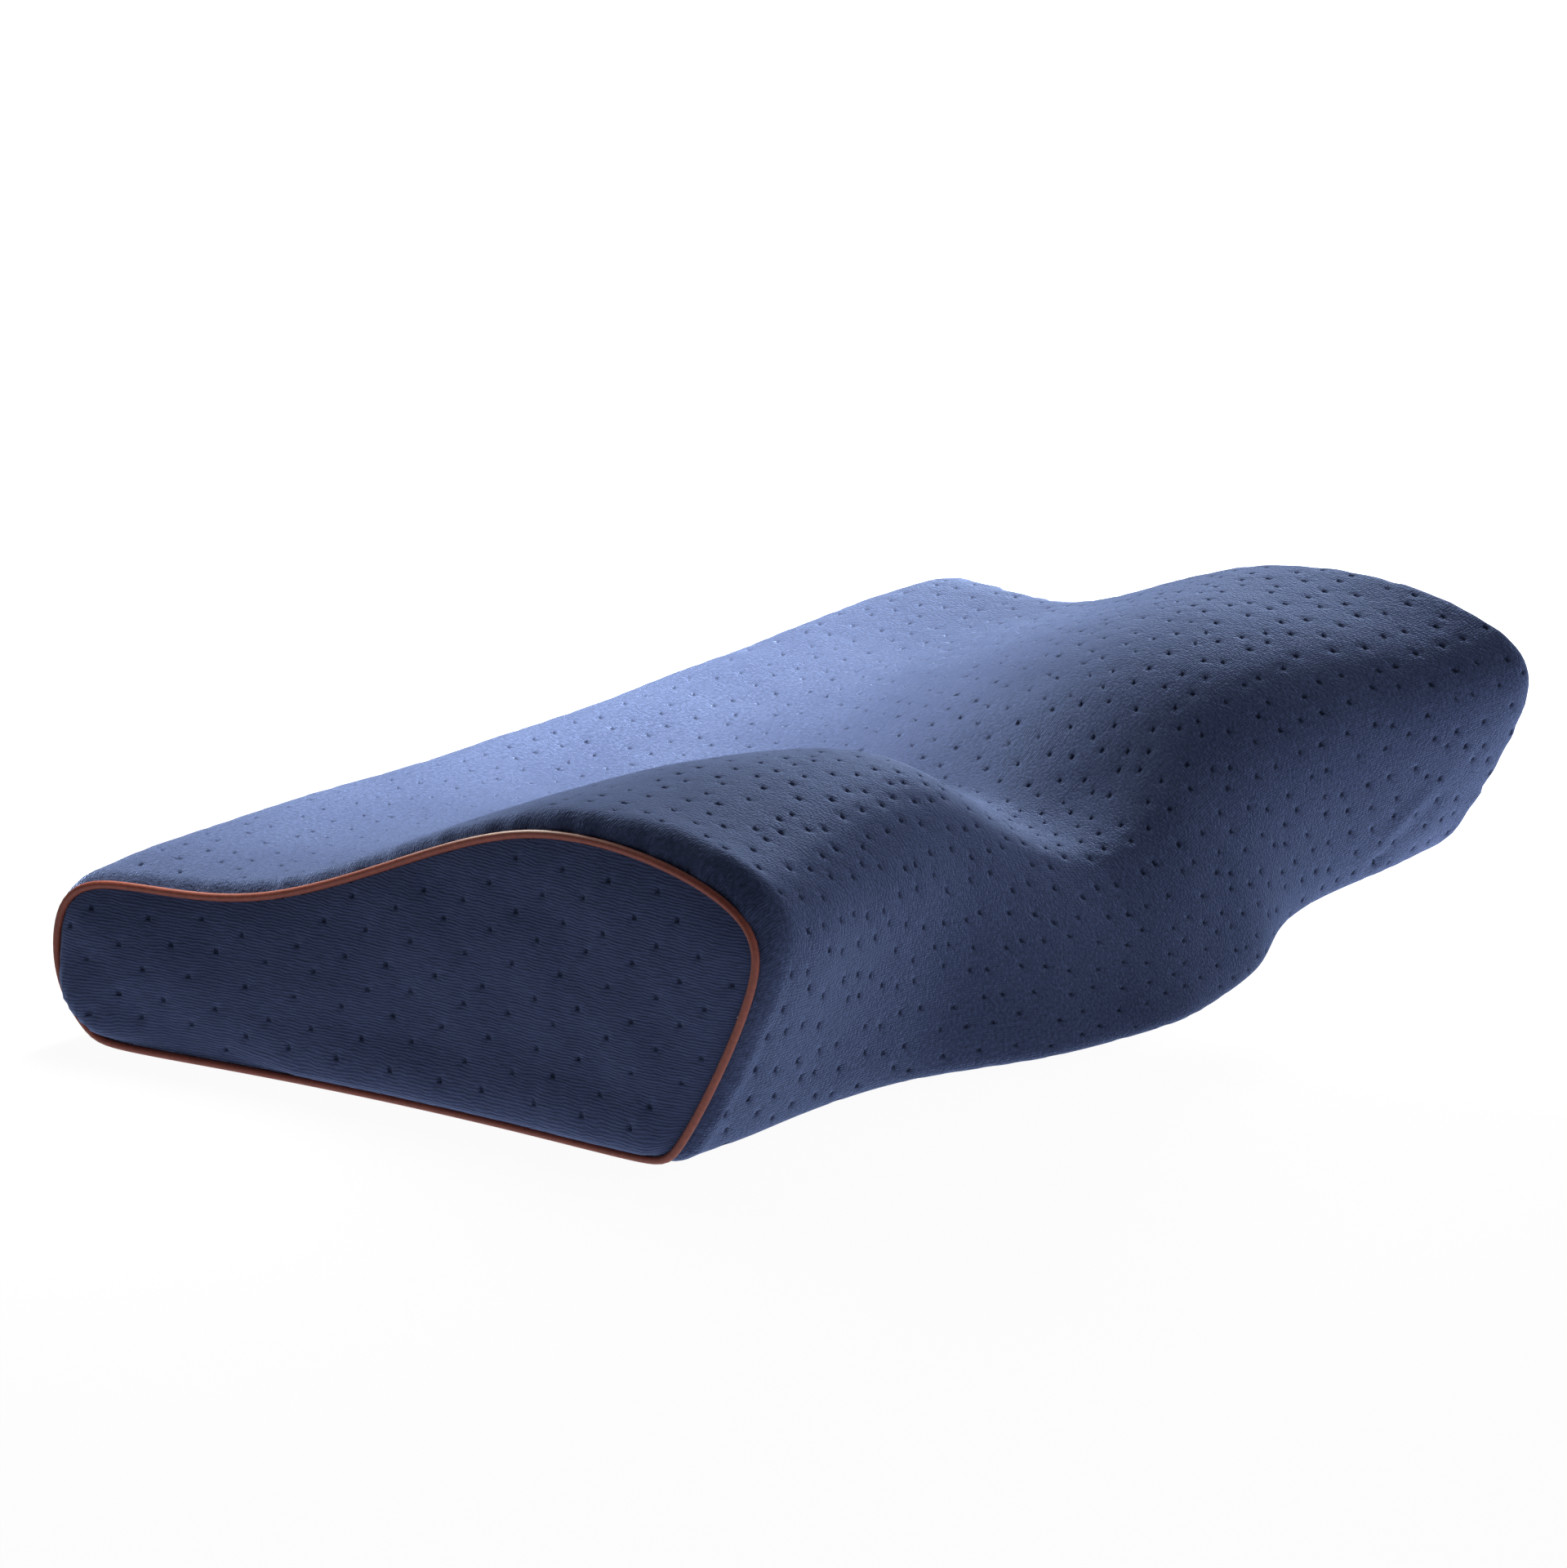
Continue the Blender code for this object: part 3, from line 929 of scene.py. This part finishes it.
class PILLOW_OT_panels(bpy.types.Operator):
    """Sews a puffed, ribbed end panel into each end seam"""

    bl_idname = "pillow.panels"
    bl_label = "End panels"

    def execute(self, context):
        ends = context.scene.pillow_ends
        form = Form()
        look = velour_finish(ends, context.scene.pillow_cover)
        for word, side in SIDES:
            piece = self.panel(form.seam(side, PANEL_SEAM_POINTS), side, ends.puff, f"velour_panel_{word}")
            dress(piece, f"end_panel_{word}", look)
        return {"FINISHED"}

    def panel(self, seam, side, puff, name):
        """One end panel: a flat net within the seam, puffed out and pressed in at its darts."""
        outline = seam[:, 1:]
        low = outline.min(0) - PANEL_MARGIN
        size = outline.max(0) + PANEL_MARGIN - low
        bm = self.net(outline, low, size)
        rng = np.random.default_rng(PANEL_SEED + side)
        targets = self.dart_faces(bm, outline, low, size, rng)
        self.puff_out(bm, seam, side, puff)
        press_dimples(bm, targets, DART_DEPTH, PANEL_CELL, DART_PAINTED_SHADE, rng)
        return finish_mesh(bm, name)

    def net(self, outline, low, size):
        """The seam's outline as a flat face with its map, cut into cells along both ways."""
        bm = bmesh.new()
        bm.faces.new([bm.verts.new((y, z, 0.0)) for y, z in outline])
        for direction, start, span in zip((Vector((1, 0, 0)), Vector((0, 1, 0))), low, size):
            for step in range(1, math.ceil(span / PANEL_CELL)):
                at = direction * (start + step * PANEL_CELL)
                geom = bm.verts[:] + bm.edges[:] + bm.faces[:]
                bmesh.ops.bisect_plane(bm, geom=geom, dist=CUT_MERGE, plane_co=at, plane_no=direction)
        bmesh.ops.remove_doubles(bm, verts=bm.verts[:], dist=PANEL_MERGE)
        map_cloth(bm)
        return bm

    def dart_faces(self, bm, outline, low, size, rng):
        """Numbers of the whole cells that take a dart, clear of the seam and of the swell beside it."""
        bm.faces.ensure_lookup_table()
        middles = face_middles(bm)
        room = seam_gap(middles, outline) - DART_ROOM_MORE * fullness(middles)
        targets = []
        for place in staggered_places(*size, DART_SPACING, DART_ROWS, DART_STRAY, rng):
            away = np.linalg.norm(middles - (low + place), axis=1)
            index = int(away.argmin())
            face = bm.faces[index]
            whole = len(face.verts) == 4 and face.calc_area() > DART_WHOLE * PANEL_CELL * PANEL_CELL
            if whole and away[index] < PANEL_CELL and room[index] > DART_ROOM:
                targets.append(index)
        return targets

    def puff_out(self, bm, seam, side, puff):
        """Stands the flat net up in the seam's plane, puffed, softly uneven and swollen where overfull."""
        outline = seam[:, 1:]
        flat = np.array([vert.co[:2] for vert in bm.verts])
        gap = seam_gap(flat, outline)
        full = fullness(flat)
        # The swell grows from nothing at the seam to its most at SWELL_AT, and dies away further in.
        share = gap / SWELL_AT
        swell = FULL_SWELL * full * share**2 * np.exp(2 - 2 * share)
        leant = flat + swell[:, None] * seam_side(flat, outline)
        plane = seam_plane(flat, seam)
        lift = (puff + FULL_FURTHER * full) * (1 - np.exp(-gap / (PUFF_REACH - FULL_SOONER * full)))
        for vert, (y, z), x, out, inward in zip(bm.verts, leant, plane, lift, gap):
            soft = unevenness(Vector((y, z, side)), PANEL_UNEVEN) - hollow_depth(y, z)
            soft *= min(1.0, inward / SOFT_REACH)
            vert.co = (x + side * (PANEL_OUT + out + soft), y, z)
        bm.normal_update()
        if side * sum(face.normal.x for face in bm.faces) < 0:
            bmesh.ops.reverse_faces(bm, faces=bm.faces[:])
        bm.normal_update()


class PILLOW_OT_piping(bpy.types.Operator):
    """Runs the brown piping round each end seam"""

    bl_idname = "pillow.piping"
    bl_label = "Piping"

    def execute(self, context):
        ends = context.scene.pillow_ends
        form = Form()
        look = piping_finish(ends)
        for word, side in SIDES:
            seam = form.seam(side, CORD_SEAM_POINTS)
            path = seam.copy()
            path[:, 0] += side * CORD_OUT
            path[:, 1:] += (ends.piping_radius + CORD_CLEAR) * outward(seam[:, 1:])
            piece = self.cord(path, ends, f"piping_cord_{word}")
            dress(piece, f"piping_{word}", look)
        return {"FINISHED"}

    def cord(self, path, ends, name):
        """A closed round cord along a path. A curve of resolution n has 2 * (n + 2) sides."""
        curve = bpy.data.curves.new(name, "CURVE")
        curve.dimensions = "3D"
        curve.bevel_depth = ends.piping_radius
        curve.bevel_resolution = max(1, ends.piping_rounds // 2 - 2)
        line = curve.splines.new("POLY")
        line.points.add(len(path) - 1)
        for knot, point in zip(line.points, path):
            knot.co = (*point, 1.0)
        line.use_cyclic_u = True
        line.use_smooth = True
        draft = bpy.data.objects.new(name + "_draft", curve)
        bpy.context.scene.collection.objects.link(draft)
        mesh = bpy.data.meshes.new_from_object(draft.evaluated_get(bpy.context.evaluated_depsgraph_get()))
        bpy.data.objects.remove(draft, do_unlink=True)
        bpy.data.curves.remove(curve)
        bm = bmesh.new()
        bm.from_mesh(mesh)
        bpy.data.meshes.remove(mesh)
        bmesh.ops.remove_doubles(bm, verts=bm.verts[:], dist=CUT_MERGE)
        bmesh.ops.recalc_face_normals(bm, faces=bm.faces[:])
        return finish_mesh(bm, name)


class PILLOW_OT_stage(bpy.types.Operator):
    """Sets the camera, the pale glowing floor, the sky and the soft light above the back"""

    bl_idname = "pillow.stage"
    bl_label = "Stage"

    def execute(self, context):
        stage = context.scene.pillow_stage
        self.camera(context, stage)
        self.floor(stage)
        self.sky(context, stage)
        self.soft_light(context, stage)
        return {"FINISHED"}

    def camera(self, context, stage):
        """The camera, aimed beside the pillow's middle from its distance."""
        yaw, pitch, roll = stage.yaw, stage.pitch, stage.roll
        forward = Vector((
            math.sin(yaw) * math.cos(pitch), math.cos(yaw) * math.cos(pitch), -math.sin(pitch),
        ))
        right = Vector((math.cos(yaw), -math.sin(yaw), 0.0))
        up = right.cross(forward)
        across = math.cos(roll) * right + math.sin(roll) * up
        above = math.cos(roll) * up - math.sin(roll) * right
        made = bpy.data.cameras.new("Camera")
        made.sensor_width = SENSOR
        made.lens = FOCAL_PX / PICTURE_PX * SENSOR
        made.clip_end = CLIP_END
        camera = bpy.data.objects.new("Camera", made)
        turn = Matrix((across, above, -forward)).transposed().to_4x4()
        turn.translation = Vector(Form().shift) - AIM[0] * across - AIM[1] * above - stage.distance * forward
        camera.matrix_world = turn
        context.scene.collection.objects.link(camera)
        context.scene.camera = camera

    def bright_side(self, stage, turn=0.0):
        """Level direction of the sky's bright side, turned further where wanted."""
        away = Vector((math.sin(stage.yaw), math.cos(stage.yaw), 0.0))
        return Matrix.Rotation(stage.sky_turn + turn, 3, "Z") @ away

    def floor(self, stage):
        """A plain pale floor that glows like a lit table, brighter toward the pillow's right end."""
        bm = bmesh.new()
        bmesh.ops.create_grid(bm, x_segments=1, y_segments=1, size=FLOOR_HALF)
        floor = finish_mesh(bm, "floor", smooth=False)
        pale = Finish("pale floor")
        bright = self.bright_side(stage, FLOOR_TURN)
        pale.set(
            Roughness=FLOOR_ROUGHNESS, Specular_IOR_Level=0.0,
            Base_Color=tinted(stage.floor_colour, FLOOR_SHARE), Emission_Color=tinted(stage.floor_colour),
            Emission_Strength=pale.rising(pale.places["Object"], bright, GLOW_RISE, stage.glow),
        )
        floor.data.materials.append(pale.material)

    def sky(self, context, stage):
        """Surroundings that are bright to the camera's right and dim on the other side."""
        world = bpy.data.worlds.new("Studio")
        world.use_nodes = True
        nodes = Nodes(world.node_tree)
        place = nodes.add("ShaderNodeTexCoord").outputs["Generated"]
        background = world.node_tree.nodes["Background"]
        strength = nodes.rising(place, self.bright_side(stage), SKY_RISE, stage.sky)
        nodes.feed(background.inputs["Strength"], strength)
        nodes.feed(background.inputs["Color"], tinted(stage.sky_colour))
        context.scene.world = world
        context.scene.view_settings.view_transform = "Standard"

    def soft_light(self, context, stage):
        """One narrow soft light above the pillow's back."""
        light = bpy.data.lights.new("Soft light", "AREA")
        light.energy = stage.soft_power
        light.color = stage.soft_colour
        light.shape = "RECTANGLE"
        light.size, light.size_y = stage.soft_size
        lamp = bpy.data.objects.new("Soft light", light)
        lamp.location = stage.soft_place
        lamp.visible_camera = False
        context.scene.collection.objects.link(lamp)


class PILLOW_PT_panel(bpy.types.Panel):
    """Lists the sizes and colours, and the pieces to make"""

    bl_label = "Cervical pillow"
    bl_space_type = "VIEW_3D"
    bl_region_type = "UI"
    bl_category = "Pillow"

    def draw(self, context):
        layout = self.layout
        for name, _ in GROUPS:
            group = getattr(context.scene, name)
            for value in group.__annotations__:
                layout.prop(group, value)
        for step in STEPS:
            layout.operator(step.bl_idname)


STEPS = (PILLOW_OT_stage, PILLOW_OT_cover, PILLOW_OT_panels, PILLOW_OT_piping)
GROUPS = (
    ("pillow_cover", PillowCover),
    ("pillow_ends", PillowEnds),
    ("pillow_stage", PillowStage),
)


def register():
    for _, group in GROUPS:
        bpy.utils.register_class(group)
    for step in STEPS:
        bpy.utils.register_class(step)
    bpy.utils.register_class(PILLOW_PT_panel)
    for name, group in GROUPS:
        setattr(bpy.types.Scene, name, PointerProperty(type=group))


def unregister():
    for name, _ in GROUPS:
        delattr(bpy.types.Scene, name)
    bpy.utils.unregister_class(PILLOW_PT_panel)
    for step in reversed(STEPS):
        bpy.utils.unregister_class(step)
    for _, group in reversed(GROUPS):
        bpy.utils.unregister_class(group)


def main():
    register()
    bpy.ops.pillow.stage()
    bpy.ops.pillow.cover()
    bpy.ops.pillow.panels()
    bpy.ops.pillow.piping()
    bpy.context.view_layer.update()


if __name__ == "__main__":
    main()
